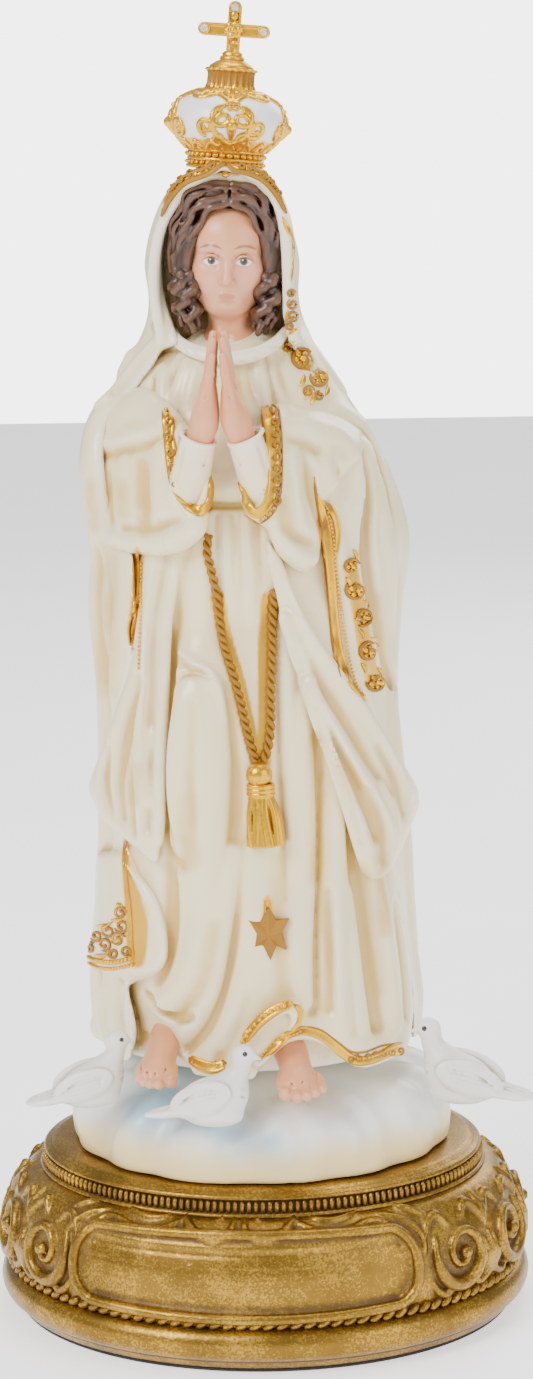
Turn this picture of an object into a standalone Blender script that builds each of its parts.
"""Praying madonna statue, a painted resin casting about 400 mm tall.

The figure stands on a cloud with three doves, on an oval gilt pedestal, and
wears a crown that lifts off on a peg. Numbers are millimetres and become
metres when a mesh is made. +Z is up, the figure faces -Y, the origin is at
the middle of the underside, and left and right are the figure's own.
"""

import math

import bmesh
import bpy
from mathutils import Matrix, Vector

MM = 0.001

# Clearances
GAP = 0.4  # between neighbouring castings
PEG_CLEARANCE = 0.4  # round the crown's peg, and under it

# Pedestal
BASE_HALF_WIDTH = 83.5  # at the big rounded moulding
BASE_HALF_DEPTH = 70.0
BASE_HEIGHT = 51.5  # from the felt to the top plate
FELT_THICKNESS = 1.2
FELT_INSET = 6.0  # from the biggest outline
PLATE_INSET = 19.0
CARTOUCHE_HALF_WIDTH = 50.0
CARTOUCHE_HALF_HEIGHT = 11.5
CARTOUCHE_MIDDLE = 29.0  # above the felt
CARTOUCHE_DEPTH = 2.0

# Cloud
CLOUD_HEIGHT = 31.8
CLOUD_MARGIN = 2.5  # of plate left showing round it

# Clothes and head
WALL = 4.0  # the mantle's thickness
SWAG_PROUD = 4.5  # how far the front panels stand out from the mantle
FIGURE_HEIGHT = 264.2  # from the cloud to the hood's top
HOOD_CROWN_WALL = 8.0  # of hood over the head, for the crown's socket
TUNIC_TOP = 212.0  # this and the figure's other heights are on the tables' scale
COLLAR_HEIGHT = 4.6
COLLAR_WIDTH = 5.5
NECK_RADIUS = 8.6
HEAD_X = -3.2
HEAD_Y = -9.0
HEAD_HALF_WIDTH = 12.4
HEAD_HALF_DEPTH = 15.6
CHIN_HEIGHT = 227.5
HEAD_TOP = 254.0
SLEEVE_WALL = 3.0
SLEEVE_MOUTH_DEPTH = 10.0
PALM_X = -2.9
HAND_THICKNESS = 6.2
HAND_LENGTH = 30.5
WRIST_HEIGHT = 190.5
WRIST_RADIUS = 4.4
WRIST_RISE = 2.8  # of the hand's first ring above the cuff's middle
CUFF_THICKNESS = 1.6

# Girdle and star
ROPE_RADIUS = 1.5
KNOB_RADIUS = 3.4
KNOB_X = 5.4
KNOB_HEIGHT = 90.0
TASSEL_LENGTH = 18.5
TASSEL_RADIUS = 5.2
STAR_RADIUS = 7.0
STAR_THICKNESS = 2.4
STAR_X = 7.4
STAR_HEIGHT = 42.6

# Feet and doves
FOOT_LENGTH = 19.5
FOOT_HALF_WIDTH = 6.6
FOOT_HEIGHT = 11.0
FOOT_UNDER_HEM = 13.0  # of the heel behind the hem's front
DOVE_RADIUS = 8.0
DOVE_SINK = 11.0  # of its belly's level below the cloud's top

# Crown, measured along its own axis from the seat
CROWN_X = -4.0
CROWN_Y = -5.0
CROWN_TILT = math.radians(5.2)
CROWN_SEAT = 1.5  # of its middle above the hood's top
CROWN_BAND_RADIUS = 11.3
CROWN_BAND_HEIGHT = 4.0
CROWN_BULB_RADIUS = 17.0
CROWN_BULB_HEIGHT = 19.0
CROWN_DRUM_RADIUS = 7.0
CROWN_DRUM_HEIGHT = 5.6
CROWN_CONE_HEIGHT = 3.2
CROSS_HEIGHT = 15.9
CROSS_ARM = 10.6
CROSS_BAR = 3.8
CROSS_THICKNESS = 3.0
ROSETTE_RADIUS = 3.2
GEM_RADIUS = 1.5
GEM_THICKNESS = 1.2
PEG_RADIUS = 2.6
PEG_LENGTH = 5.5

# Levels that follow from the sizes above
BASE_BOTTOM = FELT_THICKNESS + GAP
PLATE_TOP = BASE_BOTTOM + BASE_HEIGHT
CLOUD_BOTTOM = PLATE_TOP + GAP
CLOUD_TOP = CLOUD_BOTTOM + CLOUD_HEIGHT
STAND = CLOUD_TOP + GAP  # the clothed figure's lowest level
BASE_DEPTH_RATIO = BASE_HALF_DEPTH / BASE_HALF_WIDTH

# The draped figure: height above STAND, x of its right and left sides, y of
# its front and back. Heights here and in the tables below suit a figure
# TABLE_HEIGHT tall, and up() stretches them to FIGURE_HEIGHT.
TABLE_HEIGHT = 264.2
FIGURE = (
    (0, -49.0, 49.0, -46, 45),
    (10, -50.5, 49.0, -46, 44.5),
    (42, -48.0, 47.0, -44, 42),
    (61, -46.5, 46.0, -42.5, 41),
    (87, -46.0, 45.0, -41, 40),
    (112, -45.8, 42.4, -39, 39),
    (136, -47.5, 45.0, -37, 38),
    (155, -46.0, 47.2, -36, 37),
    (173, -47.3, 43.0, -36, 35),
    (185, -46.0, 39.2, -35, 33),
    (197, -40.6, 31.0, -33, 30),
    (209, -34.5, 23.7, -29, 27),
    (215, -31.0, 20.5, -26, 25),
    (221, -28.2, 17.0, -25, 24),
    (239, -28.5, 16.2, -25, 22),
    (251, -25.8, 13.6, -24, 20),
)
# The hood's dome closes in over the last stretch, as shares of its reach.
HOOD_DOME = ((0.0, 0.97), (0.45, 0.82), (0.85, 0.62), (1.0, 0.52))

# The mantle's open front, and its face opening, as x and height above STAND.
OPENING = (
    (-34, -6), (-34, 12), (-30, 22), (-31, 45), (-38, 62), (-40, 90), (-40, 150), (-38, 185), (-33, 203),
    (-17, 214), (-21.5, 222), (-22.5, 238), (-18.5, 251), (-10, 256), (-2, 257), (5, 255),
    (10.5, 251), (13.5, 240), (13.5, 226), (15.4, 214), (23, 203), (32, 190), (38, 160),
    (38, 110), (40, 80), (44, 60), (44, -6),
)
SWAG_RIGHT = (
    (-13.5, 156), (-28, 150), (-30, 135), (-33, 120), (-40, 103), (-46, 86), (-37, 75),
    (-27, 61.5), (-24, 76), (-23, 98), (-21.5, 125), (-18, 146),
)
SWAG_LEFT = (
    (12.5, 155), (12.8, 142), (16, 120), (21, 106), (25, 94), (29, 80), (33, 62), (38, 56.5),
    (44, 62), (52.5, 81), (48.5, 90), (45, 98), (40, 106), (30, 121), (27, 140), (27, 152),
)

# Sleeves, as rings across the arm: x, y, height, half depth, half height.
SLEEVE_RIGHT = (
    (-42.5, -14, 176, 4, 7),
    (-40, -17, 177, 13, 17),
    (-34, -21, 178, 18, 23),
    (-27, -24, 178, 18, 24),
    (-19, -28, 178.5, 16, 21),
    (-13.5, -30, 181, 14, 16.5),
)
SLEEVE_LEFT = (
    (33, -14, 180, 5, 8),
    (31, -17, 177, 13, 18),
    (25, -21, 174, 17, 25),
    (18, -26, 174, 17, 25),
    (9.5, -30, 181, 14, 17),
)

# Doves: x and y of the middle, height, heading in degrees from +X, length.
DOVES = {
    "dove_right": (-47.0, -41.0, 1.0, 30.0, 25.0),
    "dove_centre": (-9.0, -55.0, 1.5, 14.0, 23.0),
    "dove_left": (64.0, -27.0, 0.0, 170.0, 30.0),
}


def clear_scene():
    for found in list(bpy.data.objects):
        bpy.data.objects.remove(found, do_unlink=True)
    for found in list(bpy.data.materials):
        bpy.data.materials.remove(found)


def finish(name, colour, roughness, metallic=0.0):
    material = bpy.data.materials.new(name)
    material.use_nodes = True
    shader = material.node_tree.nodes["Principled BSDF"]
    shader.inputs["Base Color"].default_value = (*colour, 1.0)
    shader.inputs["Roughness"].default_value = roughness
    shader.inputs["Metallic"].default_value = metallic
    return material


def add_object(name, mesh_builder, material, parent=None):
    """One closed body, made in millimetres by mesh_builder, with faces turned out."""
    built = bmesh.new()
    mesh_builder(built)
    bmesh.ops.recalc_face_normals(built, faces=built.faces)
    if built.calc_volume(signed=True) < 0:
        bmesh.ops.reverse_faces(built, faces=built.faces)
    bmesh.ops.scale(built, vec=Vector((MM, MM, MM)), verts=built.verts)
    mesh = bpy.data.meshes.new(name)
    built.to_mesh(mesh)
    built.free()
    made = bpy.data.objects.new(name, mesh)
    bpy.context.scene.collection.objects.link(made)
    if material:
        made.data.materials.append(material)
        made.data.shade_smooth()
        made.data.set_sharp_from_angle(angle=math.radians(40))
    made.parent = parent
    return made


def as_cutter(made):
    made.hide_render = True
    made.display_type = "WIRE"
    return made


def boolean(made, other, operation="DIFFERENCE", solver="EXACT"):
    modifier = made.modifiers.new(f"{operation.lower()} {other.name}"[:60], "BOOLEAN")
    modifier.operation = operation
    modifier.solver = solver
    modifier.object = other


def loft(rings):
    """A builder that skins closed rings of equal count and caps both ends."""

    def build(built):
        rows = [[built.verts.new(point) for point in ring] for ring in rings]
        for lower, upper in zip(rows, rows[1:]):
            for i in range(len(lower)):
                j = (i + 1) % len(lower)
                built.faces.new((lower[i], lower[j], upper[j], upper[i]))
        built.faces.new(rows[0])
        built.faces.new(rows[-1])

    return build


def oval(centre, across, up, count=20):
    """A ring round centre, spanned by two half-axis vectors."""
    middle, across, up = Vector(centre), Vector(across), Vector(up)
    turns = (2 * math.pi * i / count for i in range(count))
    return [middle + across * math.cos(turn) + up * math.sin(turn) for turn in turns]


def turned(profile, count=32, depth_ratio=1.0, x=0.0, y=0.0):
    """Rings of a turned shape from (radius, height) pairs, flattened along Y by the ratio."""
    return [oval((x, y, h), (r, 0, 0), (0, r * depth_ratio, 0), count) for r, h in profile]


def prism(outline, front, back):
    """A builder of an outline of (x, z) points, extruded along Y."""
    return loft([[(x, y, z) for x, z in outline] for y in (front, back)])


def up(height):
    """The level of a height read from the figure's tables."""
    return STAND + height * FIGURE_HEIGHT / TABLE_HEIGHT


def on_tables(length):
    """A real length on the tables' scale."""
    return length * TABLE_HEIGHT / FIGURE_HEIGHT


def raised(outline):
    return [(x, up(height)) for x, height in outline]


def narrowed(outline, by):
    """The outline with each side moved towards the middle."""
    return [(x + by if x < HEAD_X else x - by, z) for x, z in outline]


def figure_stations():
    """FIGURE's rows with the hood's dome added."""
    last = FIGURE[-1]
    middle = ((last[1] + last[2]) / 2, (last[3] + last[4]) / 2)
    rows = list(FIGURE)
    for share, reach in HOOD_DOME[1:]:
        height = last[0] + (TABLE_HEIGHT - last[0]) * share
        sides = [middle[i // 2] + (last[i + 1] - middle[i // 2]) * reach for i in range(4)]
        rows.append((height, *sides))
    return rows


def section(height, grow=0.0, count=36):
    """The draped figure's ring at a height, moved out by grow."""
    rows = figure_stations()
    height = min(max(height, rows[0][0]), rows[-1][0])
    for low, high in zip(rows, rows[1:]):
        if height <= high[0]:
            break
    share = (height - low[0]) / (high[0] - low[0])
    right, left, front, back = (a + (b - a) * share for a, b in zip(low[1:], high[1:]))
    x, y = (right + left) / 2, (front + back) / 2
    half = (left - right) / 2 + grow
    deep = (back - front) / 2 + grow
    points = []
    for i in range(count):
        turn = 2 * math.pi * i / count
        points.append((x + half * math.cos(turn), y + deep * math.sin(turn)))
    return points


def figure_rings(bottom, top, grow=0.0):
    """Rings of the draped figure from one height to another above STAND."""
    inside = [row[0] for row in figure_stations() if bottom < row[0] < top]
    heights = [bottom, *inside, top]
    return [[(x, y, up(h)) for x, y in section(h, grow)] for h in heights]


def make_felt(felt):
    half = BASE_HALF_WIDTH - FELT_INSET
    rings = turned(((half, 0), (half, FELT_THICKNESS)), 48, BASE_DEPTH_RATIO)
    add_object("base_felt_pad", loft(rings), felt)


def make_pedestal(gilt):
    w = BASE_HALF_WIDTH
    top = w - PLATE_INSET
    shares = (
        (w - 4.5, 0.0), (w - 4.0, 0.07), (w - 0.8, 0.11), (w, 0.17), (w - 0.8, 0.23),
        (w - 2.5, 0.27), (w - 2.5, 0.31), (w - 1.8, 0.40), (w - 2.2, 0.58), (w - 5.0, 0.74),
        (w - 9.5, 0.83), (w - 10.5, 0.87), (w - 15.5, 0.875), (w - 16.5, 0.97), (top, 1.0),
    )
    profile = [(radius, BASE_BOTTOM + BASE_HEIGHT * share) for radius, share in shares]
    pedestal = add_object("base_pedestal", loft(turned(profile, 48, BASE_DEPTH_RATIO)), gilt)
    half, tall = CARTOUCHE_HALF_WIDTH, CARTOUCHE_HALF_HEIGHT
    middle = BASE_BOTTOM + CARTOUCHE_MIDDLE
    outline = [
        (sign * (half - tall) + tall * math.cos(math.radians(a)), middle + tall * math.sin(math.radians(a)))
        for sign, first in ((1, -90), (-1, 90))
        for a in range(first, first + 181, 30)
    ]
    inner = turned([(radius - CARTOUCHE_DEPTH, z) for radius, z in profile], 48, BASE_DEPTH_RATIO)
    panel = as_cutter(add_object("cartouche_cutter", prism(outline, -BASE_HALF_DEPTH * 1.3, 0), None))
    core = as_cutter(add_object("cartouche_floor", loft(inner), None))
    boolean(panel, core)
    boolean(pedestal, panel)


def cloud_rings(grow=0.0):
    reach = BASE_HALF_WIDTH - PLATE_INSET - CLOUD_MARGIN
    shape = ((0.0, 0.0), (-0.6, 0.12), (-2.0, 0.42), (-6.0, 0.68), (-12.0, 0.88), (-18.0, 1.0))
    rings = []
    for inset, share in shape:
        half = reach + inset + grow
        z = CLOUD_BOTTOM + CLOUD_HEIGHT * share + (grow if share == 1.0 else 0.0)
        deep = half * 0.9 if share > 0.5 else half * (0.86 + 0.08 * share)
        rings.append(oval((0, 0, z), (half, 0, 0), (0, deep, 0), 40))
    return rings


def make_cloud(paint):
    add_object("cloud", loft(cloud_rings()), paint)
    return as_cutter(add_object("cloud_room", loft(cloud_rings(GAP)), None))


def make_tunic(paint, feet):
    tunic = add_object("tunic", loft(figure_rings(0, TUNIC_TOP, -WALL - GAP)), paint)
    for room in feet:
        boolean(tunic, room)


def make_mantle(paint):
    """The hooded mantle, and the room that it and its gap take up."""
    mantle = add_object("mantle", loft(figure_rings(0, TABLE_HEIGHT)), paint)
    core = figure_rings(-6, TABLE_HEIGHT - on_tables(HOOD_CROWN_WALL), -WALL)
    inside = as_cutter(add_object("mantle_inside", loft(core), None))
    opening = raised(OPENING)
    front = as_cutter(add_object("mantle_front", prism(opening, -90, -2), None))
    boolean(mantle, inside)
    boolean(mantle, front)
    room = as_cutter(add_object("mantle_room", loft(figure_rings(-6, TABLE_HEIGHT, GAP)), None))
    narrower = narrowed(opening, GAP)
    boolean(room, as_cutter(add_object("mantle_room_front", prism(narrower, -90, -2 - GAP), None)))
    socket_rings = turned(
        ((PEG_RADIUS + PEG_CLEARANCE, -PEG_LENGTH - PEG_CLEARANCE), (PEG_RADIUS + PEG_CLEARANCE, 12)), 20
    )
    socket = as_cutter(add_object("crown_socket", loft(socket_rings), None))
    socket.matrix_world = crown_place()
    boolean(mantle, socket)
    return room


def make_swags(paint, mantle_room, sleeve_rooms):
    core = figure_rings(-6, TUNIC_TOP, -WALL)
    inside = as_cutter(add_object("swag_inside", loft(core), None))
    proud = as_cutter(add_object("swag_face", loft(figure_rings(-6, TUNIC_TOP, SWAG_PROUD)), None))
    for name, outline in (("mantle_swag_right", SWAG_RIGHT), ("mantle_swag_left", SWAG_LEFT)):
        swag = add_object(name, prism(raised(outline), -80, -12), paint)
        boolean(swag, proud, "INTERSECT")
        for room in (inside, mantle_room, *sleeve_rooms):
            boolean(swag, room)


def sleeve_rings(rows, grow=0.0):
    rings = []
    for i, (x, y, height, deep, tall) in enumerate(rows):
        end = grow if i in (0, len(rows) - 1) else 0.0
        outward = 1.0 if (i == 0) == (rows[0][0] > rows[-1][0]) else -1.0
        middle = (x + outward * end, y, up(height))
        rings.append(oval(middle, (0, deep + grow, 0), (0, 0, tall + grow), 24))
    return rings


def mouth_rings(rows):
    """The bell's hollow, from its end ring inwards."""
    inward = 1.0 if rows[0][0] > rows[-1][0] else -1.0
    x, y, height, deep, tall = rows[-1]
    rings = []
    for along, less in ((-2.0, 0.0), (0.0, 0.0), (SLEEVE_MOUTH_DEPTH, 2.0)):
        across = (0, deep - SLEEVE_WALL - less, 0)
        upward = (0, 0, tall - SLEEVE_WALL - less)
        rings.append(oval((x + inward * along, y, up(height)), across, upward, 20))
    return rings


def make_sleeves(paint, mantle_room, arm_rooms):
    core = figure_rings(-6, TUNIC_TOP + GAP, -WALL)
    inside = as_cutter(add_object("sleeve_inside", loft(core), None))
    rooms = []
    pairs = (("sleeve_right", SLEEVE_RIGHT), ("sleeve_left", SLEEVE_LEFT))
    for (name, rows), arm in zip(pairs, arm_rooms):
        sleeve = add_object(name, loft(sleeve_rings(rows)), paint)
        mouth = as_cutter(add_object(f"{name}_mouth", loft(mouth_rings(rows)), None))
        # The exact solver loses the whole sleeve where the mantle's room meets it.
        for room in (mantle_room, inside, mouth, arm):
            boolean(sleeve, room, solver="MANIFOLD")
        rooms.append(as_cutter(add_object(f"{name}_room", loft(sleeve_rings(rows, GAP)), None)))
    return rooms


def arm_line(side):
    """Points of the forearm's middle, from inside the sleeve to the wrist, for side -1 or 1."""
    wrist = Vector((PALM_X + side * (HAND_THICKNESS * 0.5 + 2.6), -41.0, up(WRIST_HEIGHT)))
    inside = wrist + Vector((side * 5.0, 3.6, -11.0))
    return inside, wrist


def cuff_rings(side, grow=0.0):
    inside, wrist = arm_line(side)
    along = (wrist - inside).normalized()
    across = along.orthogonal().normalized()
    beside = along.cross(across)
    reach = WRIST_RADIUS + CUFF_THICKNESS + grow
    rings = []
    for share, more in ((0.0, 1.2), (0.5, 0.3), (0.85, 0.0), (1.0, -0.8)):
        end = along * grow * (1 if share == 1.0 else -1 if share == 0.0 else 0)
        middle = inside.lerp(wrist, share) + end
        rings.append(oval(middle, across * (reach + more), beside * (reach + more), 16))
    return rings


def make_forearms(paint, skin):
    rooms = []
    for name, side in (("right", -1.0), ("left", 1.0)):
        add_object(f"inner_cuff_{name}", loft(cuff_rings(side)), paint)
        room = add_object(f"inner_cuff_{name}_room", loft(cuff_rings(side, GAP)), None)
        rooms.append(as_cutter(room))
        make_hand(f"hand_{name}", side, arm_line(side)[1], skin)
    return rooms


def make_hand(name, side, wrist, skin):
    """A flat hand, pressed against the other at PALM_X and leaning a little forward."""
    middle = PALM_X + side * (HAND_THICKNESS / 2 + GAP / 2)
    stations = (
        (0.0, WRIST_RADIUS - 0.6, WRIST_RADIUS, wrist.x, 0.0),
        (0.16, HAND_THICKNESS * 0.55, 5.6, (wrist.x + middle * 2) / 3, -1.0),
        (0.34, HAND_THICKNESS * 0.5, 6.6, middle, -2.2),
        (0.55, HAND_THICKNESS * 0.5, 6.4, middle, -3.8),
        (0.8, HAND_THICKNESS * 0.42, 4.6, middle - side * HAND_THICKNESS * 0.08, -5.8),
        (1.0, HAND_THICKNESS * 0.22, 1.8, middle - side * HAND_THICKNESS * 0.28, -7.4),
    )
    rings = []
    for share, thick, wide, x, forward in stations:
        x = side * max(side * x, side * PALM_X + thick + GAP / 2)
        centre = (x, wrist.y + forward, wrist.z + WRIST_RISE + HAND_LENGTH * share)
        rings.append(oval(centre, (thick, 0, 0), (0, wide, 0), 14))
    add_object(name, loft(rings), skin)


def head_rings(grow=0.0):
    chin, top = up(CHIN_HEIGHT), up(HEAD_TOP)
    neck = up(TUNIC_TOP) + GAP
    radius = NECK_RADIUS + grow
    rings = [oval((HEAD_X, HEAD_Y + 1, z), (radius, 0, 0), (0, radius, 0)) for z in (neck - grow, chin)]
    for share, wide, deep, back in (
        (0.06, 0.74, 0.72, 0.0), (0.22, 0.9, 0.9, 0.0), (0.42, 1.0, 1.0, 0.6),
        (0.62, 1.0, 1.0, 1.0), (0.8, 0.86, 0.88, 1.2), (0.93, 0.58, 0.6, 1.2), (1.0, 0.25, 0.25, 1.0),
    ):
        across = (HEAD_HALF_WIDTH * wide + grow, 0, 0)
        deep_reach = (0, HEAD_HALF_DEPTH * deep + grow, 0)
        z = chin + (top - chin) * share + (grow if share == 1.0 else 0.0)
        rings.append(oval((HEAD_X, HEAD_Y + back, z), across, deep_reach))
    return rings


def make_head(skin, brown):
    add_object("head", loft(head_rings()), skin)
    room = as_cutter(add_object("head_room", loft(head_rings(GAP)), None))
    low = TUNIC_TOP + on_tables(GAP + COLLAR_HEIGHT + GAP)
    high = TABLE_HEIGHT - on_tables(HOOD_CROWN_WALL + GAP)
    hair = add_object("hair", loft(figure_rings(low, high, -WALL - GAP)), brown)
    edge = HEAD_HALF_WIDTH - 1.0
    face = (
        (HEAD_X - edge, -10), (HEAD_X + edge, -10), (HEAD_X + edge, CHIN_HEIGHT + 14),
        (HEAD_X + edge * 0.7, CHIN_HEIGHT + 22), (HEAD_X, CHIN_HEIGHT + 25),
        (HEAD_X - edge * 0.7, CHIN_HEIGHT + 22), (HEAD_X - edge, CHIN_HEIGHT + 14),
    )
    front = as_cutter(add_object("face_opening", prism(raised(face), -60, HEAD_Y + 4), None))
    boolean(hair, room)
    boolean(hair, front)


def make_collar(paint, mantle_room):
    low = up(TUNIC_TOP) + GAP
    inner = NECK_RADIUS + GAP
    outer = inner + COLLAR_WIDTH
    middle_z = low + COLLAR_HEIGHT / 2
    count, sides = 28, 8

    def build(built):
        rows = []
        for i in range(count):
            turn = 2 * math.pi * i / count
            out = Vector((math.cos(turn), math.sin(turn), 0))
            middle = Vector((HEAD_X, HEAD_Y + 1, middle_z)) + out * (inner + outer) / 2
            rows.append([
                built.verts.new(
                    middle + out * math.cos(a) * (outer - inner) / 2
                    + Vector((0, 0, math.sin(a) * COLLAR_HEIGHT / 2))
                )
                for a in (2 * math.pi * j / sides for j in range(sides))
            ])
        for i in range(count):
            for j in range(sides):
                k, m = (i + 1) % count, (j + 1) % sides
                built.faces.new((rows[i][j], rows[k][j], rows[k][m], rows[i][m]))

    collar = add_object("tunic_collar", build, paint)
    boolean(collar, mantle_room)


def foot_rings(x, grow=0.0):
    """A bare foot, heel under the hem and toes forward, along -Y."""
    heel_y = FIGURE[0][3] + FOOT_UNDER_HEM
    rings = []
    for share, wide, tall in (
        (0.0, 0.72, 1.0), (0.35, 0.82, 1.0), (0.7, 1.0, 0.72), (0.92, 0.96, 0.5), (1.0, 0.7, 0.3),
    ):
        end = grow * (1 if share == 1.0 else -1 if share == 0.0 else 0)
        y = heel_y - FOOT_LENGTH * share - end
        half = FOOT_HEIGHT * tall / 2 + grow
        low = CLOUD_TOP - 4.0 - 4.0 * share
        centre = (x, y, low + FOOT_HEIGHT * tall / 2)
        rings.append(oval(centre, (FOOT_HALF_WIDTH * wide + grow, 0, 0), (0, 0, half), 16))
    return rings


def make_feet(skin, cloud_room):
    rooms = []
    for name, x in (("foot_right", -26.0), ("foot_left", 16.0)):
        foot = add_object(name, loft(foot_rings(x)), skin)
        boolean(foot, cloud_room)
        rooms.append(as_cutter(add_object(f"{name}_room", loft(foot_rings(x, GAP)), None)))
    return rooms


def front_face(height, x, out=0.0):
    """The y of the tunic's front at a height above STAND and an x."""
    ring = section(height, -WALL - GAP, 144)
    front = [point for point in ring if point[1] < 0]
    return min(front, key=lambda point: abs(point[0] - x))[1] - out


def make_rope(name, points, gilt):
    curve = bpy.data.curves.new(name, "CURVE")
    curve.dimensions = "3D"
    curve.bevel_depth = ROPE_RADIUS * MM
    curve.bevel_resolution = 2
    curve.use_fill_caps = True
    spline = curve.splines.new("POLY")
    spline.points.add(len(points) - 1)
    for point, (x, height) in zip(spline.points, points):
        y = front_face(height, x, ROPE_RADIUS + GAP)
        point.co = (x * MM, y * MM, up(height) * MM, 1.0)
    rope = bpy.data.objects.new(name, curve)
    bpy.context.scene.collection.objects.link(rope)
    rope.data.materials.append(gilt)


def smooth_points(ends, count=16):
    """Points of a smooth run through a few chosen ones (Catmull-Rom)."""
    padded = [ends[0], *ends, ends[-1]]
    runs = len(ends) - 1
    points = []
    for i in range(count + 1):
        place = min(i / count * runs, runs - 1e-6)
        k = int(place)
        t = place - k
        a, b, c, d = (Vector(p) for p in padded[k : k + 4])
        points.append(
            0.5 * (2 * b + (c - a) * t + (2 * a - 5 * b + 4 * c - d) * t * t
                   + (3 * b - a - 3 * c + d) * t ** 3)
        )
    return points


def make_girdle(gilt):
    low = KNOB_HEIGHT + on_tables(KNOB_RADIUS + ROPE_RADIUS + GAP)
    right = ((-8.6, 162.0), (-7.0, 148.0), (-3.6, 131.0), (0.2, 116.0), (2.6, 102.0), (KNOB_X - 1.9, low))
    left = ((9.2, 150.0), (9.8, 140.0), (9.4, 128.0), (9.4, 116.0), (8.8, 104.0), (KNOB_X + 1.9, low))
    make_rope("girdle_rope_right", smooth_points(right), gilt)
    make_rope("girdle_rope_left", smooth_points(left), gilt)
    y = front_face(KNOB_HEIGHT, KNOB_X, TASSEL_RADIUS + GAP) - 1.2
    knob = [
        (KNOB_RADIUS * math.cos(math.radians(a)), up(KNOB_HEIGHT) + KNOB_RADIUS * math.sin(math.radians(a)))
        for a in range(-80, 81, 20)
    ]
    add_object("tassel_knob", loft(turned(knob, 20, x=KNOB_X, y=y)), gilt)
    top = up(KNOB_HEIGHT) - KNOB_RADIUS - GAP
    neck = TASSEL_RADIUS * 0.62
    profile = (
        (neck, top), (neck, top - 4.5), (TASSEL_RADIUS * 0.86, top - 7), (TASSEL_RADIUS, top - 11),
        (TASSEL_RADIUS, top - TASSEL_LENGTH),
    )
    add_object("tassel_skirt", loft(turned(profile, 20, x=KNOB_X, y=y)), gilt)


def make_star(gilt):
    """Six points on a flat back, ridged from each tip to the middle."""
    z = up(STAR_HEIGHT)
    back = front_face(STAR_HEIGHT - STAR_RADIUS, STAR_X, GAP)

    def build(built):
        rim = []
        for i in range(12):
            reach = STAR_RADIUS if i % 2 == 0 else STAR_RADIUS * 0.52
            turn = math.radians(90 + 30 * i)
            spot = (STAR_X + reach * math.cos(turn), z + reach * math.sin(turn))
            rim.append([built.verts.new((spot[0], back - out, spot[1])) for out in (0.0, 0.6)])
        peak = built.verts.new((STAR_X, back - STAR_THICKNESS, z))
        built.faces.new([pair[0] for pair in rim])
        for here, after in zip(rim, rim[1:] + rim[:1]):
            built.faces.new((here[0], here[1], after[1], after[0]))
            built.faces.new((here[1], peak, after[1]))

    add_object("star", build, gilt)


def make_doves(paint, cloud_room):
    """Each dove rises from its tail to its breast and bends up into a round head."""
    spine = (
        (-0.58, 0.24, 0.35), (-0.42, 0.42, 0.4), (-0.2, 0.86, 0.5), (0.0, 1.0, 0.62),
        (0.17, 0.95, 0.95), (0.27, 0.66, 1.4), (0.32, 0.5, 1.85), (0.36, 0.5, 2.25), (0.44, 0.3, 2.5),
    )
    for name, (x, y, drop, heading, length) in DOVES.items():
        ahead = Vector((math.cos(math.radians(heading)), math.sin(math.radians(heading)), 0))
        aside = Vector((-ahead.y, ahead.x, 0))
        surface = CLOUD_TOP - DOVE_SINK + drop
        rings = []
        for along, thick, rise in spine:
            lean = Vector((0, 0, 1)) if rise < 1.0 else (Vector((0, 0, 1)) * 0.75 - ahead * 0.66)
            centre = Vector((x, y, surface + rise * DOVE_RADIUS)) + ahead * along * length
            radius = thick * DOVE_RADIUS
            rings.append(oval(centre, aside * radius, lean.normalized() * radius * 0.95, 14))
        dove = add_object(name, loft(rings), paint)
        boolean(dove, cloud_room)


def crown_place():
    seat = Vector((CROWN_X, CROWN_Y, up(TABLE_HEIGHT) + CROWN_SEAT)) * MM
    return Matrix.Translation(seat) @ Matrix.Rotation(CROWN_TILT, 4, "Y")


def make_crown(gilt, pearl, glass):
    """The crown's pieces, in the frame of the empty that stands on its seat."""
    axis = bpy.data.objects.new("crown_axis", None)
    bpy.context.scene.collection.objects.link(axis)
    axis.matrix_world = crown_place()
    band, bulb = CROWN_BAND_RADIUS, CROWN_BULB_RADIUS
    low = CROWN_BAND_HEIGHT
    profile = (
        (PEG_RADIUS - 0.6, -PEG_LENGTH), (PEG_RADIUS, -PEG_LENGTH + 0.8), (PEG_RADIUS, 0),
        (band - 0.6, 0), (band, 0.8), (band, low - 1.2), (band - 0.8, low),
        (band + (bulb - band) * 0.55, low + CROWN_BULB_HEIGHT * 0.16),
        (bulb, low + CROWN_BULB_HEIGHT * 0.48), (bulb * 0.95, low + CROWN_BULB_HEIGHT * 0.68),
        (bulb * 0.76, low + CROWN_BULB_HEIGHT * 0.86), (CROWN_DRUM_RADIUS, low + CROWN_BULB_HEIGHT),
    )
    add_object("crown_cap", loft(turned(profile, 28)), pearl, axis)
    drum_low = low + CROWN_BULB_HEIGHT + GAP
    drum_top = drum_low + CROWN_DRUM_HEIGHT
    drum = ((CROWN_DRUM_RADIUS, drum_low), (CROWN_DRUM_RADIUS, drum_top))
    add_object("crown_drum", loft(turned(drum, 24)), gilt, axis)
    cone_low = drum_top + GAP
    cone_top = cone_low + CROWN_CONE_HEIGHT
    cone = ((CROWN_DRUM_RADIUS * 0.72, cone_low), (CROSS_BAR * 0.5, cone_top))
    add_object("crown_cone", loft(turned(cone, 20)), gilt, axis)
    make_cross(cone_top + GAP, gilt, glass, axis)


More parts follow.
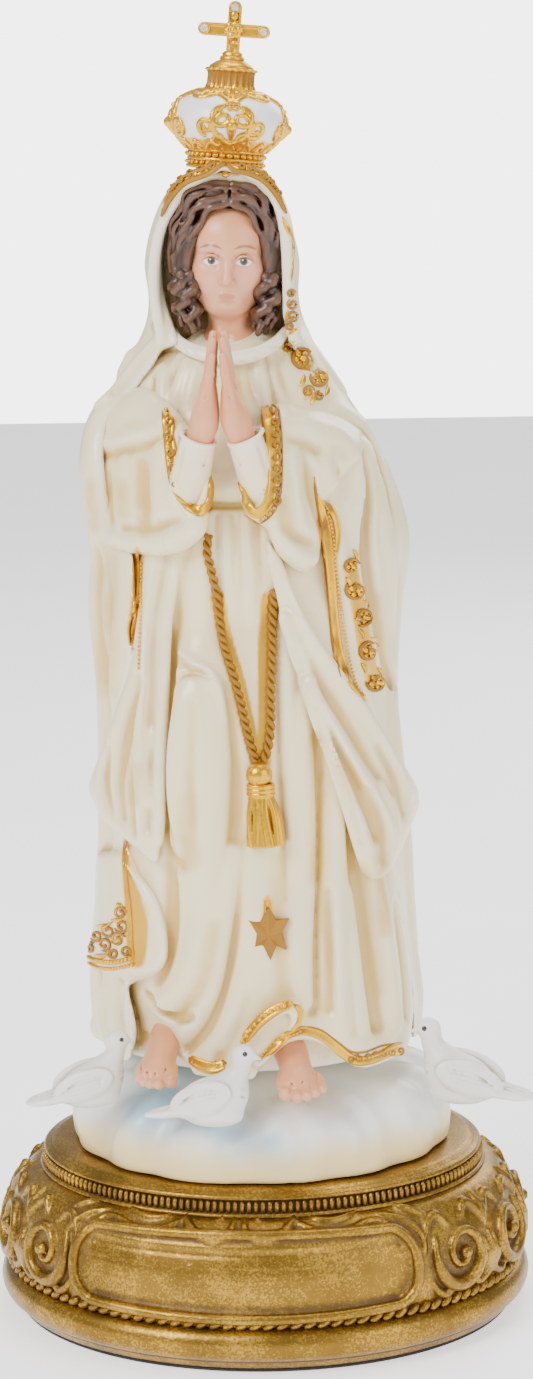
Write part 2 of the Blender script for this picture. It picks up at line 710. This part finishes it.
def make_cross(foot, gilt, glass, axis):
    bar, arm = CROSS_BAR / 2, CROSS_ARM
    top = foot + CROSS_HEIGHT
    middle = foot + CROSS_HEIGHT * 0.47
    outline = (
        (-bar, foot), (bar, foot), (bar, middle - bar), (arm, middle - bar), (arm, middle + bar),
        (bar, middle + bar), (bar, top), (-bar, top), (-bar, middle + bar), (-arm, middle + bar),
        (-arm, middle - bar), (-bar, middle - bar),
    )
    half = CROSS_THICKNESS / 2
    add_object("crown_cross", prism(outline, -half, half), gilt, axis)
    face = -half - GAP
    spots = {
        "cross_rosette": (0.0, middle, ROSETTE_RADIUS, gilt),
        "gem_top": (0.0, top - bar - 0.3, GEM_RADIUS, glass),
        "gem_right": (-arm + bar + 0.3, middle, GEM_RADIUS, glass),
        "gem_left": (arm - bar - 0.3, middle, GEM_RADIUS, glass),
    }
    for name, (x, z, radius, material) in spots.items():
        rings = [
            oval((x, face - GEM_THICKNESS * out, z), (radius * wide, 0, 0), (0, 0, radius * wide), 12)
            for out, wide in ((0.0, 0.9), (0.35, 1.0), (1.0, 0.55))
        ]
        add_object(name, loft(rings), material, axis)


def main():
    clear_scene()
    gilt = finish("antique_gold", (0.50, 0.31, 0.08), 0.42, 0.85)
    bright = finish("bright_gold", (0.72, 0.48, 0.10), 0.36, 0.85)
    ivory = finish("ivory_paint", (0.86, 0.82, 0.68), 0.42)
    skin = finish("skin_paint", (0.80, 0.56, 0.42), 0.48)
    brown = finish("hair_paint", (0.16, 0.09, 0.06), 0.55)
    white = finish("white_paint", (0.88, 0.87, 0.83), 0.5)
    felt = finish("felt", (0.08, 0.07, 0.06), 0.95)
    glass = finish("rhinestone", (0.85, 0.84, 0.86), 0.08)
    make_felt(felt)
    make_pedestal(gilt)
    cloud_room = make_cloud(white)
    feet_rooms = make_feet(skin, cloud_room)
    make_tunic(ivory, feet_rooms)
    mantle_room = make_mantle(ivory)
    arm_rooms = make_forearms(ivory, skin)
    sleeve_rooms = make_sleeves(ivory, mantle_room, arm_rooms)
    make_swags(ivory, mantle_room, sleeve_rooms)
    make_head(skin, brown)
    make_collar(ivory, mantle_room)
    make_girdle(bright)
    make_star(bright)
    make_doves(white, cloud_room)
    make_crown(bright, ivory, glass)


main()
